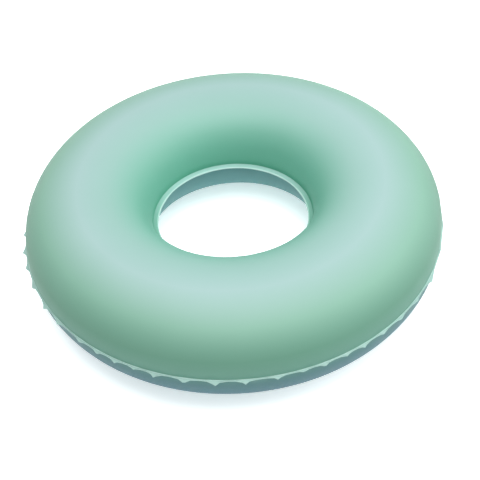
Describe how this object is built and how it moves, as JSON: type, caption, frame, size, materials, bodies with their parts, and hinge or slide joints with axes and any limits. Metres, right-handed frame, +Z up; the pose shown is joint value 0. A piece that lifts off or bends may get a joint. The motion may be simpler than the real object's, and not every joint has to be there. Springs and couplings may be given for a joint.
{
  "type": "inflatable ring cushion",
  "caption": "Inflatable ring cushion: a fat welded vinyl tube round an open centre hole, with a plugged mouth valve low on its back.",
  "frame": {"origin": "centre of the ring on the floor it lies on", "axes": "+Z up through the centre hole, +Y towards the valve, +X to the right as seen from the side opposite the valve"},
  "size_m": [0.406, 0.406, 0.1016],
  "materials": {
    "mint_vinyl": "satin",
    "shade_vinyl": "satin",
    "milky_vinyl": "satin"
  },
  "bodies": {
    "ring": {"upper_sheet": "mint_vinyl", "lower_sheet": "shade_vinyl", "valve_base": "milky_vinyl", "valve_diaphragm": "milky_vinyl"},
    "stem": {"valve_stem": "milky_vinyl", "plug_strap": "milky_vinyl"},
    "plug": {"valve_plug": "milky_vinyl"},
    "flap": {"check_flap": "milky_vinyl"}
  },
  "joints": [
    {"name": "stem_pull", "type": "slide", "parent": "ring", "child": "stem", "axis": [0, 0.8437, -0.5368], "range_m": [0, 0.012], "deforming": ["valve_diaphragm"]},
    {"name": "plug_pull", "type": "slide", "parent": "stem", "child": "plug", "axis": [0, 0.8437, -0.5368], "range_m": [0, 0.009], "deforming": ["plug_strap"]},
    {"name": "flap_bend", "type": "hinge", "parent": "stem", "child": "flap", "pos_m": [0, 0.18131, 0.03487], "axis": [-1, 0, 0], "range_deg": [0, 50]}
  ]
}
